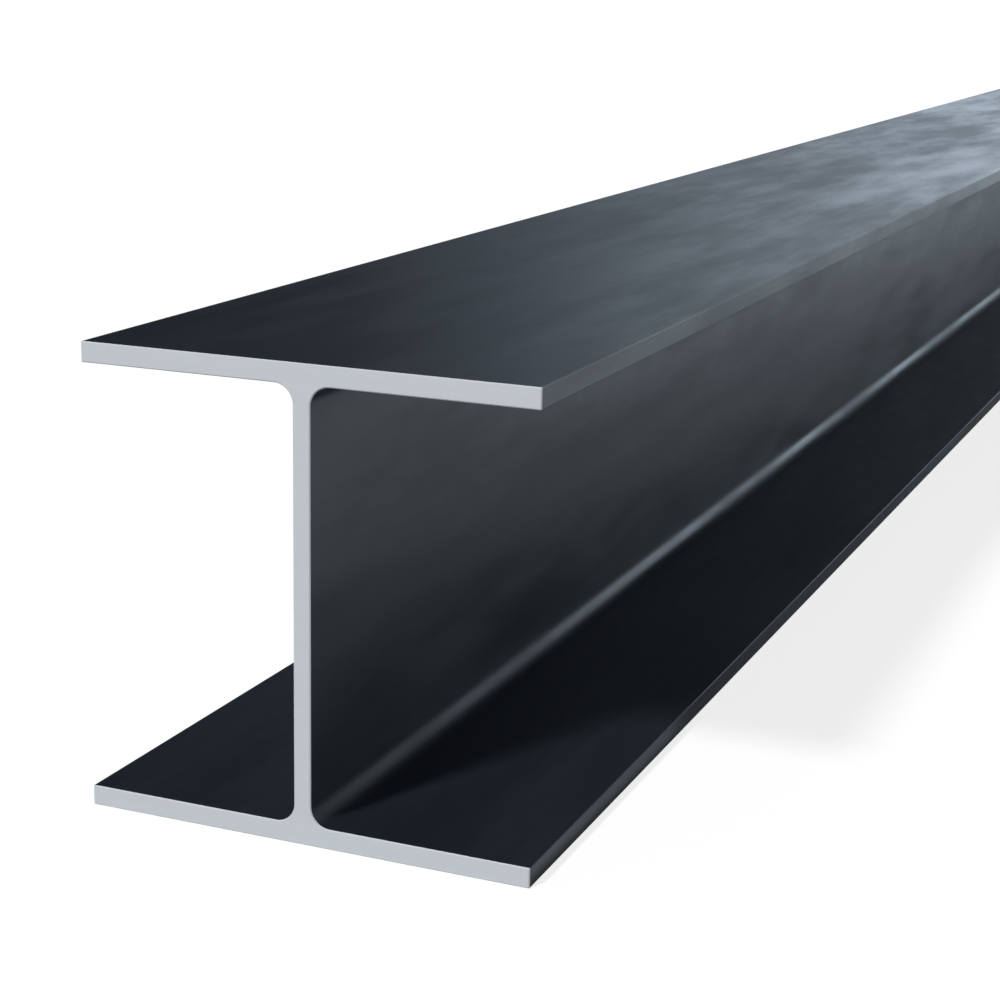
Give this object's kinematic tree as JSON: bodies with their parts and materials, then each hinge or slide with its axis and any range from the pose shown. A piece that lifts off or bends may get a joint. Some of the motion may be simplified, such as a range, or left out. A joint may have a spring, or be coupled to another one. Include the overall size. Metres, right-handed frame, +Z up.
{
  "type": "steel h-beam",
  "caption": "Hot-rolled steel H-beam with parallel flanges, a thin web and root fillets, sawn square at both ends, for columns, beams and frames.",
  "frame": {"origin": "middle of the underside of the bottom flange, half way along the beam", "axes": "+X across the flanges, +Y along the beam, +Z up from the bottom flange to the top flange"},
  "size_m": [0.152, 3, 0.1521],
  "materials": {
    "rolled_steel": "as rolled: satin blue-black mill scale, with bare light grey steel on the two sawn ends"
  },
  "bodies": {
    "root": {"h_beam": "rolled_steel"}
  },
  "joints": []
}
